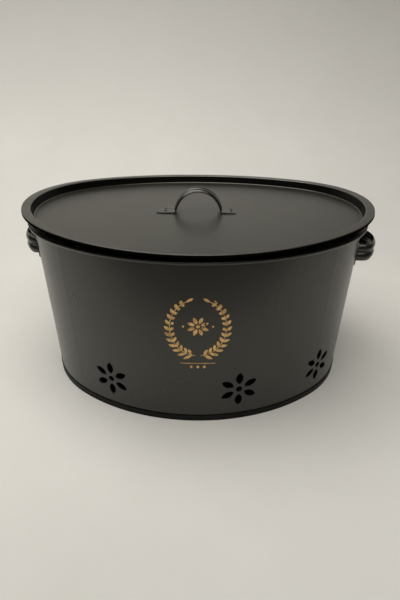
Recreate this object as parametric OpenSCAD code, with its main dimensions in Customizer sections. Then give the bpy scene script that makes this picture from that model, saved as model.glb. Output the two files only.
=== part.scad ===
// Oval potato storage bin in black sheet steel with a loose lid.
// Long side along X, front at -Y, standing on z = 0.
// The origin lies under the middle of the whole object, handles included.
// Every oval is made of four arcs: two end arcs and two side arcs.

/* [Body] */
// length over the rolled rim
rim_length = 352; // [300:1:420]
// width over the rolled rim
rim_width = 290; // [274:1:340]
// radius of the rim's end arcs
rim_end_r = 128; // [110:1:136]
// height of the body to the top of the rim
rim_height = 173; // [130:1:230]
// width of the flattened roll along the rim
curl_w = 6; // [5:0.1:9]
// height of the flattened roll along the rim
curl_h = 3.5; // [2.5:0.1:5]
// thickness of the body, base and lid sheet
sheet_t = 0.7; // [0.5:0.05:1.2]
// how much the wall draws in from the rim to the foot
wall_flare = 6.8; // [2:0.1:14]

/* [Base] */
// height of the seam band round the foot
seam_h = 6.2; // [4:0.1:10]
// height of the bin's floor above the ground
floor_h = 4.6; // [3:0.1:6]
// width of the folded side seam at each end
side_seam_w = 8; // [5:0.5:14]

/* [Flower vents] */
// height of a vent's centre above the ground
vent_z = 36.5; // [28:0.5:60]
// distance from a vent's centre to its petal tips
vent_r = 18.8; // [12:0.1:22]
// greatest width of a petal
petal_w = 6.4; // [4:0.1:7]
// diameter of the round hole in the middle
vent_hole_d = 5.4; // [3:0.1:6.5]
// place of the left vent, as a share of the front arc's left half
vent_left = 0.659; // [0.4:0.001:0.75]
// place of the middle vent, as a share of the front arc's right half
vent_mid = 0.31; // [0.1:0.001:0.45]

/* [Strap handles] */
// width of the handle strap
strap_w = 18.4; // [14:0.1:24]
// thickness of the handle strap
strap_t = 0.9; // [0.7:0.05:1.5]
// height of the two ribs pressed along the strap
rib_h = 1.9; // [1.2:0.1:2.6]
// outer width of a side handle across its legs
span = 66; // [56:1:90]
// radius of a side handle's middle
span_mid_r = 48; // [42:1:70]
// radius of a side handle's corners
span_corner_r = 11; // [8:0.5:16]
// length of each welded foot of a side handle
side_foot = 14; // [8:1:20]
// reach of the right handle from the wall
right_reach = 23.5; // [21:0.5:34]
// reach of the left handle from the wall
left_reach = 16.5; // [16:0.5:34]
// height of the right handle's middle
right_z = 139; // [90:0.5:145]
// height of the left handle's middle
left_z = 145; // [90:0.5:150]

/* [Lid] */
// how far the lid's flange reaches past the rim
lid_over = 4; // [2:0.1:8]
// height of the flange above the rim, at the middle of the sides
lid_stand = 7.3; // [6:0.1:10]
// how far the lid's ends bow up above its middle
lid_bow = 6.3; // [3:0.1:8]
// height of the lip turned down round the flange
lip_h = 2.6; // [1.8:0.1:3.6]
// thickness of that folded lip
lip_t = 1.3; // [1:0.1:2]
// depth of the sunken tray
tray_depth = 8.5; // [8:0.1:14]
// lean of the tray's wall from upright, in degrees
tray_lean = 15; // [5:1:20]
// gap between the tray and the mouth of the rim
tray_fit = 0.4; // [0.3:0.05:1]

/* [Lid handle] */
// radius of the lid handle's arch, without its ribs
arch_r = 23.4; // [18:0.1:30]
// height of the lid handle above its feet, with its ribs
arch_h = 25; // [20:0.1:32]
// lean of the arch's legs from upright, in degrees
arch_lean = 22; // [10:1:30]
// length from the middle to the end of the left foot
arch_left = 44; // [38:0.5:52]
// length from the middle to the end of the right foot
arch_right = 39.5; // [36:0.5:52]

/* [Display] */
// which piece to draw

/* [Hidden] */
steel_black = [0.10, 0.10, 0.10];
steel_grey = [0.13, 0.13, 0.125];
seat = 0.1;
weld = 0.2;
lap_turn = 0.001;

// an oval is [half length, half width, end radius]
rim = [rim_length / 2, rim_width / 2, rim_end_r];
function grow(o, g) = [o[0] + g, o[1] + g, o[2] + g];
lid = grow(rim, lid_over);
function end_x(o) = o[0] - o[2];
function side_r(o) = (pow(end_x(o), 2) + pow(o[1], 2) - pow(o[2], 2)) / (2 * (o[1] - o[2]));
function side_y(o) = side_r(o) - o[1];
function end_angle(o) = atan2(side_y(o), end_x(o));

// wall's outer face as an offset from the rim's oval
curl_z = rim_height - curl_h / 2;
function wall_x(z) = sheet_t - curl_w - wall_flare * (1 - z / curl_z);

// shift that puts the origin midway between the two side handles
origin_x = (wall_x(left_z) + left_reach - wall_x(right_z) - right_reach) / 2;

// flower vents: six petals begin at a share of the vent's radius, and the end of
// the front's arc runs between the petals of the right vent
petal_turn = 60;
petal_share = 0.35;
petal_in = vent_r * petal_share;
vent_past = petal_w / 2 + (petal_in * sin(petal_turn) - petal_w / 2) / 4;
vent_depth = 10;

// seam channel under the wall
seam_in = wall_x(0) - sheet_t - seat;
plate_oval = grow(rim, seam_in - sheet_t / 2);

// pressed strap: each rib is an arc over half of the strap
strap_edge = 0.8;
rib_gap = 0.6;
rib_chord = (strap_w - rib_gap) / 2 - strap_edge;
rib_r = (pow(rib_chord / 2, 2) + pow(rib_h, 2)) / (2 * rib_h);
rib_y = (rib_gap + rib_chord) / 2;

// side handle's outline seen from above
span_turn = asin((span / 2 - span_corner_r) / (span_mid_r - span_corner_r));
span_drop = (span_mid_r - span_corner_r) * cos(span_turn);
foot_turn = side_foot / rim_end_r * 180 / PI;
leg_run = 30;
foot_lap = 0.4;

// lid heights at its middle, and how its sheet bows along x
flange_z = rim_height + lid_stand;
tray_z = flange_z - tray_depth;
bow_r = (pow(lid[0], 2) + pow(lid_bow, 2)) / (2 * lid_bow);
function bow(x) = pow(x, 2) / (2 * bow_r);

// lid's section: offset g from the lid's outline and height from the flange's top
lip_flare = 0.1;
edge_r = 0.7;
crease_r = 1.3;
tray_r = 0.9;
tray_in = curl_w + tray_fit + lid_over;
wall_g = (tray_depth + sheet_t) * tan(tray_lean) - sheet_t / cos(tray_lean) - tray_in;
crease_g = wall_g + crease_r * (1 - sin(tray_lean)) / cos(tray_lean);
floor_g = wall_g - (tray_r + (tray_depth - tray_r) * sin(tray_lean)) / cos(tray_lean);
edge_g = -lip_flare * lip_h - edge_r;
lid_section = concat(
    arc(floor_g, tray_r - tray_depth, tray_r, -90, -tray_lean, 3),
    arc(crease_g, -crease_r, crease_r, 180 - tray_lean, 90, 4),
    arc(edge_g, -edge_r, edge_r, 90, 0, 3),
    [[0, -lip_h], [-lip_t, -lip_h], [-lip_t - lip_flare * lip_h, -sheet_t]],
    arc(crease_g, -crease_r, crease_r - sheet_t, 90, 180 - tray_lean, 3),
    arc(floor_g, tray_r - tray_depth, tray_r + sheet_t, -tray_lean, -90, 3)
);
lid_steps = 15;

// lid handle's arch and its bends
bend_r = 3;
foot_z = tray_z + bow(max(arch_left, arch_right));
lap = 0.25;
skin = 0.05;
arch_z = foot_z + arch_h - rib_h - arch_r;
bend_z = foot_z + strap_t + bend_r;
arch_leg = (arch_z - bend_z) / cos(arch_lean) + (arch_r + bend_r) * tan(arch_lean);
foot_x = (arch_r + bend_r) * cos(arch_lean) + arch_leg * sin(arch_lean);

module centred() {
    translate([origin_x, 0, 0])
        children();
}

// points of an arc about (x, y)
function arc(x, y, r, from, to, n) =
    [for (i = [0:n]) let (a = from + (to - from) * i / n) [x + r * cos(a), y + r * sin(a)]];

// sweeps a profile round an oval, x = 0 on the oval and outward positive
module oval_end(o, from, turn) {
    translate([end_x(o), 0, 0])
        rotate([0, 0, from])
            rotate_extrude(angle = turn, $fn = 240)
                translate([o[2], 0])
                    children();
}

module oval_side(o, lap = 0) {
    translate([0, -side_y(o), 0])
        rotate([0, 0, end_angle(o) - lap])
            rotate_extrude(angle = 180 - 2 * (end_angle(o) - lap), $fn = 480)
                translate([side_r(o), 0])
                    children();
}

module oval_ring(o) {
    for (s = [0, 180])
        rotate([0, 0, s]) {
            oval_end(o, -end_angle(o), 2 * end_angle(o))
                children();
            oval_side(o)
                children();
        }
}

// the half of an oval ring with y above zero
module oval_half(o) {
    oval_end(o, 0, end_angle(o))
        children();
    oval_side(o, lap_turn)
        children();
    rotate([0, 0, 180])
        oval_end(o, -end_angle(o), end_angle(o))
            children();
}

// outline of an oval, with n points on each of its four arcs
function oval_points(o, n) =
    let (a = end_angle(o))
    concat(arc(end_x(o), 0, o[2], -a, a, n),
           arc(0, -side_y(o), side_r(o), a, 180 - a, n),
           arc(-end_x(o), 0, o[2], 180 - a, 180 + a, n),
           arc(0, side_y(o), side_r(o), 180 + a, 360 - a, n));

// wall sheet with the flattened roll at its top, as one outline
module wall_profile() {
    ri = curl_h / 2 - sheet_t;
    ro = curl_h / 2;
    xi = ro - curl_w;
    polygon(concat(
        [[wall_x(sheet_t) - sheet_t, sheet_t], [wall_x(sheet_t), sheet_t]],
        arc(xi, curl_z, ri, 180, 90, 6),
        arc(-ro, curl_z, ri, 90, -90, 12),
        [[xi, curl_z - ri]],
        [[xi, curl_z - ro]],
        arc(-ro, curl_z, ro, -90, 90, 16),
        arc(xi, curl_z, ro, 90, 180, 8)
    ));
}

// one petal: a pointed oval along x
module petal() {
    half = (vent_r - petal_in) / 2;
    r = (pow(half, 2) + pow(petal_w / 2, 2)) / petal_w;
    translate([petal_in + half, 0])
        intersection() {
            translate([0, r - petal_w / 2])
                circle(r = r, $fn = 64);
            translate([0, petal_w / 2 - r])
                circle(r = r, $fn = 64);
        }
}

// cuts one vent through the wall, r from the centre of the arc it lies on
module vent_cut(centre, r, turn) {
    translate(centre)
        rotate([0, 0, turn])
            translate([r + wall_x(vent_z), 0, vent_z])
                rotate([0, 90, 0]) {
                    cylinder(d = vent_hole_d, h = vent_depth, center = true, $fn = 48);
                    for (k = [0:5])
                        rotate([0, 0, petal_turn * k])
                            linear_extrude(height = vent_depth, center = true)
                                petal();
                }
}

// half of the body, drawn at the back
module wall_half() {
    side_turn = 90 - end_angle(rim);
    past_turn = vent_past / (rim_end_r + wall_x(vent_z)) * 180 / PI;
    difference() {
        oval_half(rim)
            wall_profile();
        for (share = [-vent_left, vent_mid])
            vent_cut([0, -side_y(rim), 0], side_r(rim), 90 + share * side_turn);
        vent_cut([-end_x(rim), 0, 0], rim_end_r, 90 + side_turn + past_turn);
    }
}

module front_wall() {
    color(steel_black)
        centred()
            rotate([0, 0, 180])
                wall_half();
}

// folded seam that closes the joint of the two halves
module side_seam() {
    turn = side_seam_w / rim_end_r * 180 / PI;
    z0 = seam_h + 1;
    z1 = rim_height - curl_h - 1;
    oval_end(rim, 0, turn)
        polygon([[wall_x(z0) - weld, z0], [wall_x(z0) + sheet_t, z0],
                 [wall_x(z1) + sheet_t, z1], [wall_x(z1) - weld, z1]]);
}

module back_wall() {
    color(steel_black)
        centred() {
            wall_half();
            side_seam();
            mirror([1, 0, 0])
                side_seam();
        }
}

module base_pan() {
    out0 = wall_x(0) + seat;
    out1 = wall_x(seam_h) + seat;
    color(steel_black)
        centred() {
            oval_ring(rim)
                polygon([
                    [seam_in - sheet_t, 0],
                    [out0 + sheet_t, 0],
                    [out1 + sheet_t, seam_h],
                    [out1, seam_h],
                    [out0, sheet_t],
                    [seam_in, sheet_t],
                    [seam_in, floor_h],
                    [seam_in - sheet_t, floor_h]
                ]);
            translate([0, 0, floor_h - sheet_t])
                linear_extrude(height = sheet_t)
                    polygon(oval_points(plate_oval, 24));
        }
}

// flat section of the bend at a foot, a little inside the strap's own faces
module flat_shape() {
    translate([skin - strap_t, skin - strap_w / 2])
        square([strap_t - 2 * skin, strap_w - 2 * skin]);
}

// strap's cross-section, drawn g inside its faces: outer face at x = 0, ribs
// outward, width along y
module strap_shape(g = 0) {
    x = rib_h - rib_r;
    ro = rib_r - g;
    ri = rib_r - strap_t + g;
    outer = acos((-x - g) / ro);
    inner = acos((-x - strap_t + g) / ri);
    half = strap_w / 2 - g;
    polygon(concat(
        [[g - strap_t, -half], [-g, -half]],
        arc(x, -rib_y, ro, -outer, outer, 10),
        arc(x, rib_y, ro, -outer, outer, 10),
        [[-g, half], [g - strap_t, half]],
        arc(x, rib_y, ri, inner, -inner, 8),
        arc(x, -rib_y, ri, inner, -inner, 8)
    ));
}

// welded handle at the right end, its middle at height z
module side_handle(reach, z) {
    mid_x = rim[0] + wall_x(z) + reach - rib_h;
    corner_x = mid_x - span_mid_r + span_drop;
    leg_y = span / 2;
    corner_lap = lap / span_corner_r * 180 / PI;
    foot_r = rim_end_r + wall_x(z);
    foot_from = asin(leg_y / foot_r) - foot_lap;
    z0 = z - strap_w / 2 + skin;
    z1 = z + strap_w / 2 - skin;
    difference() {
        translate([0, 0, z]) {
            translate([mid_x - span_mid_r, 0, 0])
                rotate([0, 0, -span_turn])
                    rotate_extrude(angle = 2 * span_turn, $fn = 240)
                        translate([span_mid_r, 0])
                            strap_shape();
            for (s = [0, 1])
                mirror([0, s, 0]) {
                    translate([corner_x, leg_y - span_corner_r, 0])
                        rotate([0, 0, span_turn - corner_lap])
                            rotate_extrude(angle = 90 - span_turn + corner_lap, $fn = 240)
                                translate([span_corner_r, 0])
                                    strap_shape(skin);
                    translate([corner_x + lap, leg_y, 0])
                        rotate([0, -90, 0])
                            linear_extrude(height = leg_run)
                                rotate([0, 0, 90])
                                    strap_shape(2 * skin);
                }
        }
        translate([end_x(rim), 0, 0])
            cylinder(r1 = rim_end_r + wall_x(0) + strap_t / 2,
                     r2 = rim_end_r + wall_x(curl_z) + strap_t / 2,
                     h = curl_z, $fn = 240);
    }
    for (s = [0, 1])
        mirror([0, s, 0])
            oval_end(rim, foot_from, foot_turn)
                polygon([[wall_x(z0), z0], [wall_x(z0) + strap_t, z0],
                         [wall_x(z1) + strap_t, z1], [wall_x(z1), z1]]);
}

module right_handle() {
    color(steel_grey)
        centred()
            side_handle(right_reach, right_z);
}

module left_handle() {
    color(steel_grey)
        centred()
            mirror([1, 0, 0])
                side_handle(left_reach, left_z);
}

// direction of the lid's outline at station k of 8 * lid_steps
function quarter_turn(j) =
    let (a = end_angle(lid))
    j < lid_steps ? a * j / lid_steps : a + (90 - a) * (j - lid_steps) / lid_steps;
function lid_turn(k) =
    let (n = 2 * lid_steps, j = k % n, q = floor(k / n))
    q % 2 == 0 ? 90 * q + quarter_turn(j) : 90 * (q + 1) - quarter_turn(n - j);

// point p of the lid's section at station k
function lid_point(k, p) =
    let (t = lid_turn(k), c = cos(t), s = sin(t),
         at_end = abs(s) <= sin(end_angle(lid)) + 0.000001,
         x = at_end ? sign(c) * end_x(lid) + (lid[2] + p[0]) * c : (side_r(lid) + p[0]) * c,
         y = at_end ? (lid[2] + p[0]) * s : (side_r(lid) + p[0]) * s - sign(s) * side_y(lid))
    [x, y, flange_z + p[1] + bow(x)];

// pressed pan as one closed skin: its section swept round, its floor in cross strips
module lid_pan() {
    n = 8 * lid_steps;
    m = len(lid_section);
    points = [for (k = [0:n - 1]) for (p = lid_section) lid_point(k, p)];
    band = [for (k = [0:n - 1]) for (j = [0:m - 2])
        let (a = k * m + j, b = (k + 1) % n * m + j)
        each [[a, b, b + 1], [a, b + 1, a + 1]]];
    strips = [for (k = [0:n / 2 - 1])
        let (a = k * m, b = (k + 1) * m, c = (n - k - 1) * m, d = (n - k) % n * m)
        each concat(k > 0 ? [[a, d, b], [a + m - 1, b + m - 1, d + m - 1]] : [],
                    k < n / 2 - 1 ? [[b, d, c], [b + m - 1, c + m - 1, d + m - 1]] : [])];
    color(steel_black)
        centred()
            polyhedron(points, concat(band, strips), convexity = 6);
}

module lid_handle() {
    bend_lap = lap / bend_r * 180 / PI;
    color(steel_grey)
        centred() {
            translate([0, 0, arch_z])
                rotate([90, 0, 0])
                    rotate([0, 0, arch_lean])
                        rotate_extrude(angle = 180 - 2 * arch_lean, $fn = 240)
                            translate([arch_r, 0])
                                strap_shape();
            for (s = [0, 1])
                mirror([s, 0, 0]) {
                    translate([0, 0, arch_z])
                        rotate([90, 0, 0])
                            rotate([0, 0, arch_lean])
                                translate([arch_r, lap, 0])
                                    rotate([90, 0, 0])
                                        linear_extrude(height = arch_leg + 2 * lap)
                                            strap_shape(2 * skin);
                    translate([foot_x, 0, bend_z])
                        rotate([90, 0, 0])
                            rotate([0, 0, 180 + arch_lean - bend_lap])
                                rotate_extrude(angle = 90 - arch_lean + 2 * bend_lap,
                                               $fn = 96)
                                    translate([bend_r + strap_t, 0])
                                        flat_shape();
                }
            translate([foot_x - weld, -strap_w / 2, foot_z])
                cube([arch_right - foot_x + weld, strap_w, strap_t]);
            translate([-arch_left, -strap_w / 2, foot_z])
                cube([arch_left - foot_x + weld, strap_w, strap_t]);
        }
}

front_wall();
back_wall();
base_pan();
right_handle();
left_handle();
lid_pan();
lid_handle();
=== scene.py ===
import math
import bpy
from mathutils import Matrix, Vector


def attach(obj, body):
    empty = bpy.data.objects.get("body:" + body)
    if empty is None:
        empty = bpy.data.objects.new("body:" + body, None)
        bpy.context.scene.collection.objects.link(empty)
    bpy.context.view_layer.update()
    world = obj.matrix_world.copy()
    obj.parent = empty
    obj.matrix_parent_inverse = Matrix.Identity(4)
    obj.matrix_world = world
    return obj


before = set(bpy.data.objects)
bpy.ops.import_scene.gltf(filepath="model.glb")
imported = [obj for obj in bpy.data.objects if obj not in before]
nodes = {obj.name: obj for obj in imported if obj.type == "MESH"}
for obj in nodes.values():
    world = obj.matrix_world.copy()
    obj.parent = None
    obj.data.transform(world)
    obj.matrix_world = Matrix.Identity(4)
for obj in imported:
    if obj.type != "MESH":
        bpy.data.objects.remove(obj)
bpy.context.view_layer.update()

# Sizes in metres, as in the part's source. The rim is an oval of two side arcs and two end arcs.
ORIGIN_X = -0.0034
HALF_LENGTH, HALF_WIDTH, END_R = 0.176, 0.145, 0.128
END_X = HALF_LENGTH - END_R
SIDE_R = (END_X ** 2 + HALF_WIDTH ** 2 - END_R ** 2) / (2 * (HALF_WIDTH - END_R))
SIDE_Y = SIDE_R - HALF_WIDTH
END_TURN = math.atan2(SIDE_Y, END_X)
SHEET_T = 0.0007
CURL_W = 0.006
CURL_Z = 0.17125
WALL_FLARE = 0.0068
FLANGE_Z = 0.1803
TRAY_DEPTH = 0.0085
STRAP_T = 0.0009
VENT_Z = 0.0365
VENT_R = 0.0188
VENT_HOLE_R = 0.0027
VENT_LEFT = 0.659
VENT_MIDDLE = 0.31
PETAL_IN = 0.00658
PETAL_HALF_W = 0.0032
PETAL_TURN = 60
# The bowed lid rises by this times the square of the distance from its middle along x.
LID_BOW = 0.1942
# That rise under the feet of the lid's handle.
FOOT_RISE = 0.000376

# Specular levels of the enamel, where they change over one piece. The rolled rim's higher level
# and the lid's bends' extra are painted highlights.
WALL_LEVEL = 0.70
ROLL_HIGHLIGHT_LEVEL = 1.0
LID_LEVEL = 0.74
BEND_HIGHLIGHT = 0.40


def wall_x(z):
    """Offset of the wall's outer face from the rim's oval at height z."""
    return SHEET_T - CURL_W - WALL_FLARE * (1 - z / CURL_Z)


def on_front(s, z, out):
    """Point on the front wall, s metres round from its middle, at height z, out metres clear."""
    r = SIDE_R + wall_x(z)
    a = s / r
    return Vector((ORIGIN_X + (r + out) * math.sin(a), SIDE_Y - (r + out) * math.cos(a), z))


def oval_point(turn, g, z):
    """Point g outside the rim's outline where its normal has this turn, at height z."""
    c, s = math.cos(turn), math.sin(turn)
    if abs(s) <= math.sin(END_TURN):
        end = math.copysign(END_X, c)
        return Vector((ORIGIN_X + end + (END_R + g) * c, (END_R + g) * s, z))
    return Vector((ORIGIN_X + (SIDE_R + g) * c, (SIDE_R + g) * s - math.copysign(SIDE_Y, s), z))


def add_mesh(name, verts, faces, mat, soft=False):
    me = bpy.data.meshes.new(name)
    me.from_pydata(verts, [], faces)
    if soft:
        me.polygons.foreach_set("use_smooth", [True] * len(faces))
    me.materials.append(mat)
    o = bpy.data.objects.new(name, me)
    bpy.context.scene.collection.objects.link(o)
    return o


# Shader nodes
def new_material(name):
    m = bpy.data.materials.new(name)
    m.use_nodes = True
    tree = m.node_tree
    return m, tree, tree.nodes["Principled BSDF"]


def feed(tree, value, socket):
    """Sets a socket to a constant or links it to an output."""
    if isinstance(value, (float, tuple)):
        socket.default_value = value
    else:
        tree.links.new(value, socket)


def number(tree, operation, *values):
    node = tree.nodes.new("ShaderNodeMath")
    node.operation = operation
    for socket, value in zip(node.inputs, values):
        feed(tree, value, socket)
    return node.outputs["Value"]


def vector(tree, operation, *values, out="Vector"):
    node = tree.nodes.new("ShaderNodeVectorMath")
    node.operation = operation
    for socket, value in zip(node.inputs, values):
        feed(tree, value, socket)
    return node.outputs[out]


def mix(tree, factor, a, b):
    node = tree.nodes.new("ShaderNodeMix")
    node.data_type = "RGBA"
    for socket, value in (("Factor", factor), ("A", a), ("B", b)):
        feed(tree, value, node.inputs[socket])
    return node.outputs["Result"]


def spread(tree, value, source, target, kind="LINEAR"):
    """Maps the first pair of values onto the second."""
    node = tree.nodes.new("ShaderNodeMapRange")
    node.interpolation_type = kind
    node.inputs["From Min"].default_value, node.inputs["From Max"].default_value = source
    node.inputs["To Min"].default_value, node.inputs["To Max"].default_value = target
    tree.links.new(value, node.inputs["Value"])
    return node.outputs["Result"]


def ramp(tree, fac, low, high):
    """Colour between two stops, each a position and a colour."""
    node = tree.nodes.new("ShaderNodeValToRGB")
    for end, stop in zip(node.color_ramp.elements, (low, high)):
        end.position, end.color = stop
    tree.links.new(fac, node.inputs["Fac"])
    return node.outputs["Color"]


def position(tree):
    return tree.nodes.new("ShaderNodeTexCoord").outputs["Object"]


def along(tree, source, axis):
    node = tree.nodes.new("ShaderNodeSeparateXYZ")
    tree.links.new(source, node.inputs["Vector"])
    return node.outputs[axis]


def noise(tree, scale, detail=3.0, rough=0.5):
    node = tree.nodes.new("ShaderNodeTexNoise")
    node.inputs["Scale"].default_value = scale
    node.inputs["Detail"].default_value = detail
    node.inputs["Roughness"].default_value = rough
    tree.links.new(position(tree), node.inputs["Vector"])
    return node.outputs["Fac"]


# Materials
def enamel(name, dark, light, rough, edge, level, peel_strength=0.06):
    """Satin black stove enamel on sheet steel: orange peel, uneven sheen, softened edges."""
    mottle_scale, sheen_scale, peel_scale, peel_height = 14.0, 11.0, 900.0, 0.0003
    m, tree, bsdf = new_material(name)
    colour = ramp(tree, noise(tree, mottle_scale), (0.3, dark), (0.72, light))
    tree.links.new(colour, bsdf.inputs["Base Color"])
    sheen = spread(tree, noise(tree, sheen_scale), (0.3, 0.7), rough)
    tree.links.new(sheen, bsdf.inputs["Roughness"])
    bsdf.inputs["IOR"].default_value = 1.5
    bsdf.inputs["Specular IOR Level"].default_value = level
    bsdf.inputs["Specular Tint"].default_value = (1.0, 0.97, 0.90, 1)
    bevel = tree.nodes.new("ShaderNodeBevel")
    bevel.samples = 6
    bevel.inputs["Radius"].default_value = edge
    peel = tree.nodes.new("ShaderNodeBump")
    peel.inputs["Strength"].default_value = peel_strength
    peel.inputs["Distance"].default_value = peel_height
    tree.links.new(noise(tree, peel_scale, 2.0), peel.inputs["Height"])
    tree.links.new(bevel.outputs["Normal"], peel.inputs["Normal"])
    tree.links.new(peel.outputs["Normal"], bsdf.inputs["Normal"])
    return m


def paint_lid_shade_and_highlight(m):
    """Painted shade on the lid's hem (near black, no sheen) and on the tray's steep wall (almost
    as dark, little sheen); painted highlight on the tray's bends (more sheen).
    """
    hem_top = FLANGE_Z - 0.0006
    outward_from, inward_from, steep_from = 0.3, -0.2, 0.5
    steep_share = 0.93
    tree = m.node_tree
    bsdf = tree.nodes["Principled BSDF"]
    normal = tree.nodes.new("ShaderNodeNewGeometry").outputs["Normal"]
    place = vector(tree, "SUBTRACT", position(tree), (ORIGIN_X, 0.0, 0.0))
    outward = vector(tree, "NORMALIZE", vector(tree, "MULTIPLY", place, (1.0, 1.0, 0.0)))
    facing = vector(tree, "DOT_PRODUCT", outward, normal, out="Value")
    side = along(tree, place, "X")
    bow = number(tree, "MULTIPLY", number(tree, "MULTIPLY", side, side), LID_BOW)
    height = number(tree, "SUBTRACT", along(tree, place, "Z"), bow)
    hem = number(tree, "MULTIPLY", number(tree, "GREATER_THAN", facing, outward_from),
                 number(tree, "LESS_THAN", height, hem_top))
    up = along(tree, normal, "Z")
    inward = number(tree, "LESS_THAN", facing, inward_from)
    steep = number(tree, "MULTIPLY", inward, number(tree, "LESS_THAN", up, steep_from))
    bend = number(tree, "MULTIPLY", inward, number(tree, "GREATER_THAN", up, steep_from))
    # painted shade: the hem and the steep wall take a near-black colour and lose their sheen
    painted_shade = number(tree, "ADD", hem, number(tree, "MULTIPLY", steep, steep_share))
    # painted highlight: the tray's bends get extra sheen
    level_with_highlight = number(tree, "ADD", number(tree, "MULTIPLY", bend, BEND_HIGHLIGHT), LID_LEVEL)
    level = number(tree, "SUBTRACT", level_with_highlight, number(tree, "MULTIPLY", painted_shade, LID_LEVEL))
    tree.links.new(level, bsdf.inputs["Specular IOR Level"])
    enamel_colour = bsdf.inputs["Base Color"].links[0].from_socket
    colour = mix(tree, painted_shade, enamel_colour, (0.002, 0.002, 0.0018, 1))
    tree.links.new(colour, bsdf.inputs["Base Color"])


def paint_roll_highlight(m):
    """Painted highlight: the rolled rim's sheen is raised above the wall's."""
    tree = m.node_tree
    roll_foot = (0.1690, 0.1695)
    height = along(tree, position(tree), "Z")
    level = spread(tree, height, roll_foot, (WALL_LEVEL, ROLL_HIGHLIGHT_LEVEL))
    tree.links.new(level, tree.nodes["Principled BSDF"].inputs["Specular IOR Level"])


def gold():
    """Worn gold print."""
    m, tree, bsdf = new_material("gold_print")
    colour = ramp(tree, noise(tree, 260.0), (0.35, (0.52, 0.31, 0.11, 1)),
                  (0.6, (0.80, 0.52, 0.21, 1)))
    tree.links.new(colour, bsdf.inputs["Base Color"])
    bsdf.inputs["Metallic"].default_value = 0.35
    bsdf.inputs["Roughness"].default_value = 0.5
    # worn spots, where the enamel shows through
    kept = number(tree, "GREATER_THAN", noise(tree, 330.0, 4.0, 0.7), 0.40)
    tree.links.new(kept, bsdf.inputs["Alpha"])
    return m


def shade_and_marks():
    """Near-black: painted shade in the seam groove, across the rim's roll and along the foot; also
    the dark bands round the vents' holes and the weld marks.
    """
    m, tree, bsdf = new_material("shade_and_marks_black")
    colour = ramp(tree, noise(tree, 300.0), (0.3, (0.001, 0.001, 0.001, 1)),
                  (0.7, (0.003, 0.003, 0.0028, 1)))
    tree.links.new(colour, bsdf.inputs["Base Color"])
    bsdf.inputs["Roughness"].default_value = 0.75
    bsdf.inputs["Specular IOR Level"].default_value = 0.08
    return m


def paper():
    """Pale paper with faint marks, with painted shade darker up the backdrop and in front of the
    set.

    Its painted reflection darkens further towards the room in front of the set.
    """
    m, tree, bsdf = new_material("sweep_paper")
    bsdf.inputs["Roughness"].default_value = 0.9
    pale = ramp(tree, noise(tree, 7.0, 6.0, 0.65), (0.3, (0.575, 0.56, 0.525, 1)),
                (0.7, (0.605, 0.59, 0.555, 1)))
    place = position(tree)
    y, z = along(tree, place, "Y"), along(tree, place, "Z")
    front = spread(tree, y, (-0.25, -0.40), (0.0, 0.9), "SMOOTHSTEP")
    # painted reflection: glossy rays see the front of the floor near black, for the dark room
    # there
    glossy = tree.nodes.new("ShaderNodeLightPath").outputs["Is Glossy Ray"]
    reflected = number(tree, "MULTIPLY", front, glossy)
    colour = mix(tree, reflected, pale, (0.02, 0.02, 0.02, 1))
    # painted shade: the paper darkens up the backdrop and towards the front
    rise = spread(tree, z, (0.14, 0.50), (0.0, 0.65))
    near = spread(tree, y, (-0.20, -0.42), (0.0, 0.38))
    painted_falloff = mix(tree, number(tree, "MAXIMUM", rise, near), colour, (0.36, 0.35, 0.33, 1))
    tree.links.new(painted_falloff, bsdf.inputs["Base Color"])
    return m


body_mat = enamel("body_enamel", (0.008, 0.0077, 0.0062, 1), (0.012, 0.0115, 0.0095, 1),
                  rough=(0.26, 0.31), edge=0.0004, level=WALL_LEVEL)
lid_mat = enamel("lid_enamel", (0.009, 0.0085, 0.0062, 1), (0.013, 0.0122, 0.009, 1),
                 rough=(0.295, 0.33), edge=0.0003, level=LID_LEVEL, peel_strength=0.03)
# painted shade: the base pan is a darker, less shiny copy of the enamel
base_shaded_mat = enamel("base_enamel_shaded", (0.004, 0.004, 0.0036, 1), (0.007, 0.0068, 0.006, 1),
                  rough=(0.40, 0.46), edge=0.0003, level=0.12)
strap_mat = enamel("strap_enamel", (0.005, 0.005, 0.0045, 1), (0.009, 0.0088, 0.0080, 1),
                   rough=(0.17, 0.23), edge=0.0003, level=0.6)
# painted highlight: a lighter, shinier copy of the enamel for the line along the lid's flange
flange_highlight_mat = enamel("flange_highlight_enamel", (0.016, 0.0155, 0.013, 1), (0.022, 0.0215, 0.018, 1),
                  rough=(0.22, 0.30), edge=0.0002, level=1.0)
shade_and_marks_mat = shade_and_marks()
paint_lid_shade_and_highlight(lid_mat)
paint_roll_highlight(body_mat)

for name, mat in (
    ("front_wall", body_mat), ("back_wall", body_mat), ("base_pan", base_shaded_mat),
    ("lid_pan", lid_mat), ("right_handle", strap_mat), ("left_handle", strap_mat),
    ("lid_handle", strap_mat),
):
    nodes[name].data.materials.clear()
    nodes[name].data.materials.append(mat)


def smooth(node, degrees):
    """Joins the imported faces' edges and shades them as one surface, creases kept."""
    o = nodes[node]
    o.data.polygons.foreach_set("use_smooth", [True] * len(o.data.polygons))
    joined = o.modifiers.new("joined", "WELD")
    joined.merge_threshold = 0.00001
    split = o.modifiers.new("creases", "EDGE_SPLIT")
    split.split_angle = math.radians(degrees)
    flat = o.modifiers.new("flats", "WEIGHTED_NORMAL")
    flat.mode = "FACE_AREA"
    flat.keep_sharp = True


smooth("lid_pan", degrees=32)


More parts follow.
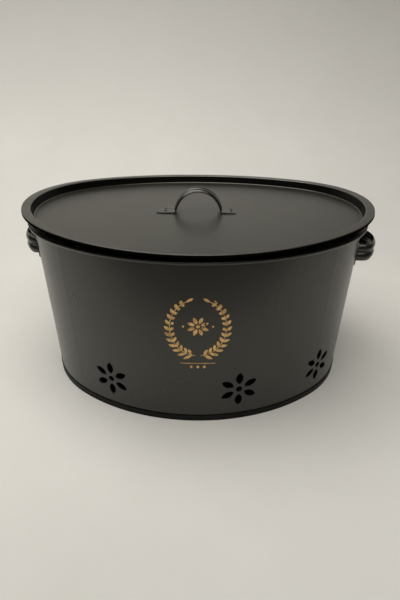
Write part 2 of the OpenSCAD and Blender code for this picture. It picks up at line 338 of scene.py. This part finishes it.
# Gold print on the front: a wreath of plain leaves round a blossom, in millimetres
def leaf(x, y, angle, length, width, n=7):
    """Pointed oval that starts at its stalk end (x, y)."""
    ca, sa = math.cos(angle), math.sin(angle)
    side = [(length * i / n, width / 2 * math.sin(math.pi * i / n) ** 0.8) for i in range(n + 1)]
    ring = side + [(u, -v) for u, v in side[-2:0:-1]]
    return [(x + u * ca - v * sa, y + u * sa + v * ca) for u, v in ring]


def disc(x, y, r, n=12):
    return [(x + r * math.cos(2 * math.pi * i / n), y + r * math.sin(2 * math.pi * i / n))
            for i in range(n)]


def ribbon(points, width):
    """Short quads along a line."""
    out = []
    for (x0, y0), (x1, y1) in zip(points, points[1:]):
        d = math.hypot(x1 - x0, y1 - y0)
        nx, ny = -(y1 - y0) / d * width / 2, (x1 - x0) / d * width / 2
        out.append([(x0 + nx, y0 + ny), (x0 - nx, y0 - ny),
                    (x1 - nx, y1 - ny), (x1 + nx, y1 + ny)])
    return out


def wreath():
    """Shapes of the print about its middle, x to the right, y up."""
    stem_half_w, stem_half_h, stem_y = 25, 29, 4
    leaf_length, shorter, inner_share = 9.5, 0.22, 0.78
    outer_turn, outer_w, inner_turn, inner_w = 0.75, 3.2, 0.85, 2.8
    blossom_y, blossom_in, petals = 6, 2.6, 8
    line_y, diamond_y, diamond_w, diamond_h = -33.5, -37.5, 1.6, 1.9
    shapes = []
    for side in (-1, 1):
        stem = [(side * stem_half_w * math.cos(math.radians(t)),
                 stem_y + stem_half_h * math.sin(math.radians(t))) for t in range(-84, 67, 6)]
        shapes += ribbon(stem, width=0.7)
        for i in range(1, len(stem) - 1, 2):
            (x0, y0), (x1, y1) = stem[i - 1], stem[i + 1]
            heading = math.atan2(y1 - y0, x1 - x0)
            size = leaf_length - shorter * i
            shapes.append(leaf(*stem[i], heading - side * outer_turn, size, outer_w))
            shapes.append(leaf(*stem[i], heading + side * inner_turn, size * inner_share, inner_w))
        (x0, y0), (x1, y1) = stem[-2:]
        shapes.append(leaf(x1, y1, math.atan2(y1 - y0, x1 - x0), length=7, width=2.8))
    for k in range(petals):
        a = math.radians(45 * k + 22.5)
        shapes.append(leaf(blossom_in * math.cos(a), blossom_y + blossom_in * math.sin(a), a,
                           length=7.4, width=3.4))
    shapes.append(disc(0, blossom_y, r=1.7))
    for x in (-13, 13):
        shapes.append(disc(x, blossom_y, r=1.0))
    shapes += ribbon([(-16 + 2 * i, line_y) for i in range(17)], width=0.8)
    for x in (-6, 0, 6):
        shapes.append([(x - diamond_w, diamond_y), (x, diamond_y - diamond_h),
                       (x + diamond_w, diamond_y), (x, diamond_y + diamond_h)])
    return shapes


def print_on_front(shapes, x, z, out=0.00012):
    """Lays the shapes on the front wall, each as a fan round its middle."""
    verts, faces = [], []
    for ring in shapes:
        start, n = len(verts), len(ring)
        middle = (sum(p[0] for p in ring) / n, sum(p[1] for p in ring) / n)
        verts += [on_front(x + u / 1000, z + v / 1000, out) for u, v in ring + [middle]]
        faces += [(start + i, start + (i + 1) % n, start + n) for i in range(n)]
    o = add_mesh("gold_print", verts, faces, gold())
    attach(o, "bin")


print_on_front(wreath(), x=0.0011, z=0.1035)


# Fine lines round the bin and the lid: painted shade in the seam groove, across the rim's roll and
# along the foot, and a painted highlight along the lid's flange
def line_round(name, g0, z0, g1, z1, mat, body="bin", bow=0.0, n=240):
    """Narrow strip between two offsets from the rim's outline, each with its height."""
    verts = [oval_point(2 * math.pi * i / n, g, z)
             for i in range(n) for g, z in ((g0, z0), (g1, z1))]
    for v in verts:
        v.z += bow * (v.x - ORIGIN_X) ** 2
    faces = [(2 * i, (2 * i + 2) % (2 * n), (2 * i + 3) % (2 * n), 2 * i + 1) for i in range(n)]
    o = add_mesh(name, verts, faces, mat, soft=True)
    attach(o, body)


# how far the two painted shade lines at the foot stand clear of the wall and of the base pan's
# band
WALL_CLEAR, BAND_CLEAR = 0.00012, 0.00092
line_round("seam_groove_shade", wall_x(0.0062) + WALL_CLEAR, 0.0061,
           wall_x(0.0071) + WALL_CLEAR, 0.0071, shade_and_marks_mat)
# painted shade: dark line across the rim's roll
line_round("rim_roll_shade", -0.00016, 0.17225, -0.00087, 0.17291, shade_and_marks_mat)
# painted highlight along the flange's inner edge
line_round("flange_highlight_line", -0.0032, 0.18036, -0.0039, 0.18022, flange_highlight_mat, "lid", LID_BOW)
# painted shadow where the base pan meets the floor
line_round("foot_shadow", wall_x(0.0) + BAND_CLEAR, 0.0001,
           wall_x(0.0009) + BAND_CLEAR, 0.0010, shade_and_marks_mat)


# Rolled-in edges of the flower vents
def petal_outline(grown, n=10):
    """Petal's outline along x, drawn this much larger all round."""
    half = (VENT_R - PETAL_IN) / 2
    r = (half ** 2 + PETAL_HALF_W ** 2) / (2 * PETAL_HALF_W)
    turn = math.asin(half / r)
    steps = [-turn + 2 * turn * i / n for i in range(n + 1)]
    up = [(PETAL_IN + half + (r + grown) * math.sin(t),
           (r + grown) * math.cos(t) + PETAL_HALF_W - r) for t in steps]
    return up + [(x, -y) for x, y in reversed(up)]


def hole_outline(grown, n=24):
    r = VENT_HOLE_R + grown
    return [(r * math.cos(2 * math.pi * i / n), r * math.sin(2 * math.pi * i / n))
            for i in range(n)]


def punched_edges(name, centre, r, turn, grown=0.00045, out=0.00010):
    """Dark bands round the seven holes of a vent, laid on the wall's arc."""
    verts, faces = [], []

    def ring(inner, outer):
        start, n = len(verts), len(inner)
        for u, v in inner + outer:
            rr = r + wall_x(VENT_Z + v) + out
            a = turn + u / rr
            verts.append(Vector((centre[0] + rr * math.cos(a), centre[1] + rr * math.sin(a),
                                 VENT_Z + v)))
        for i in range(n):
            j = (i + 1) % n
            faces.append((start + i, start + j, start + n + j, start + n + i))

    for k in range(6):
        a = math.radians(PETAL_TURN * k + 90)
        c, s = math.cos(a), math.sin(a)
        ring(*([(x * c - y * s, x * s + y * c) for x, y in petal_outline(g)]
               for g in (0.0, grown)))
    ring(hole_outline(0.0), hole_outline(grown))
    o = add_mesh(name, verts, faces, shade_and_marks_mat)
    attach(o, "bin")


# the right vent's middle lies a little past the front arc, on the end arc
side_turn = math.pi / 2 - END_TURN
petal_y = PETAL_IN * math.sin(math.radians(PETAL_TURN))
past = (PETAL_HALF_W + (petal_y - PETAL_HALF_W) / 4) / (END_R + wall_x(VENT_Z))
for flip, f, label in ((0.0, 1, "back"), (math.pi, -1, "front")):
    for share, spot in ((-VENT_LEFT, "left"), (VENT_MIDDLE, "middle")):
        punched_edges("vent_" + label + "_" + spot, (ORIGIN_X, -SIDE_Y * f), SIDE_R,
                      math.pi / 2 + share * side_turn + flip)
    punched_edges("vent_" + label + "_right", (ORIGIN_X - END_X * f, 0.0), END_R,
                  math.pi / 2 + side_turn + past + flip)


# Spot welds on the feet of the lid's handle
def dimple(name, x, y, z, r=0.0013, n=20):
    """Dished mark with a raised edge."""
    middle_rise = 0.00002
    rings = [(0.55, 0.00003), (0.8, 0.00010), (1.0, 0.00016), (1.25, 0.00002)]
    verts = [Vector((x, y, z + middle_rise))]
    for share, rise in rings:
        verts += [Vector((x + r * share * math.cos(2 * math.pi * i / n),
                          y + r * share * math.sin(2 * math.pi * i / n), z + rise))
                  for i in range(n)]
    faces = [(0, 1 + i, 1 + (i + 1) % n) for i in range(n)]
    for k in range(len(rings) - 1):
        a, b = 1 + k * n, 1 + (k + 1) * n
        faces += [(a + i, b + i, b + (i + 1) % n, a + (i + 1) % n) for i in range(n)]
    o = add_mesh(name, verts, faces, shade_and_marks_mat, soft=True)
    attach(o, "lid")


weld_x, weld_ys = 0.0352, (0.0042, -0.0030)
foot_top = FLANGE_Z - TRAY_DEPTH + FOOT_RISE + STRAP_T
spots = [(x, y) for x in (-weld_x, weld_x) for y in weld_ys]
for i, (x, y) in enumerate(spots):
    dimple("weld_mark_%d" % (i + 1), ORIGIN_X + x, y, foot_top)


# Stage: pale sweep
def sweep():
    """Pale floor that curves up into a backdrop, as one mesh."""
    half, front, back, radius, top, steps = 3.0, -3.0, 0.75, 0.5, 2.6, 12
    prof = [(front, 0.0), (back - radius, 0.0)]
    for i in range(1, steps + 1):
        a = math.radians(90 * i / steps)
        prof.append((back - radius + radius * math.sin(a), radius - radius * math.cos(a)))
    prof.append((back, top))
    verts = [(x, y, z) for y, z in prof for x in (-half, half)]
    faces = [(2 * i, 2 * i + 1, 2 * i + 3, 2 * i + 2) for i in range(len(prof) - 1)]
    return add_mesh("sweep", verts, faces, paper(), soft=True)


sweep()


# Lights
def area(name, loc, aim, size, power, colour):
    data = bpy.data.lights.new(name, "AREA")
    data.shape = "RECTANGLE"
    data.size, data.size_y = size
    data.energy = power
    data.color = colour
    o = bpy.data.objects.new(name, data)
    o.location = loc
    o.rotation_euler = (Vector(aim) - Vector(loc)).to_track_quat("-Z", "Y").to_euler()
    bpy.context.scene.collection.objects.link(o)


area("overhead", (-0.25, -0.30, 1.38), (0.0, 0.0, 0.0), (2.5, 1.3), 27.0, (1.0, 0.985, 0.95))
area("backdrop_wash", (-0.25, 0.15, 1.2), (0.0, 0.6, 0.12), (1.0, 0.5), 3.6, (1.0, 0.985, 0.95))
area("front_strip", (-0.2, -1.3, 0.95), (0.0, 0.0, 0.15), (1.2, 0.25), 0.5, (1.0, 0.985, 0.955))

world = bpy.data.worlds.new("studio")
world.use_nodes = True
background = world.node_tree.nodes["Background"]
background.inputs["Color"].default_value = (0.80, 0.78, 0.73, 1)
background.inputs["Strength"].default_value = 0.14
bpy.context.scene.world = world

# Camera, fitted to the oval outlines in the photo
IMAGE_HEIGHT = 600
CAMERA_AT = (0.0026 + ORIGIN_X, -0.4665, 0.3061)
LOOK_DOWN = 27.31
ROLL = 0.0083
cam_data = bpy.data.cameras.new("camera")
cam_data.sensor_width = 36.0
cam_data.sensor_fit = "AUTO"
cam_data.lens = 26.568
cam_data.shift_y = -0.5 / IMAGE_HEIGHT
cam = bpy.data.objects.new("camera", cam_data)
cam.matrix_world = (
    Matrix.Translation(CAMERA_AT)
    @ Matrix.Rotation(math.radians(90 - LOOK_DOWN), 4, "X")
    @ Matrix.Rotation(ROLL, 4, "Z")
)
bpy.context.scene.collection.objects.link(cam)
bpy.context.scene.camera = cam
bpy.context.scene.view_settings.view_transform = "Standard"
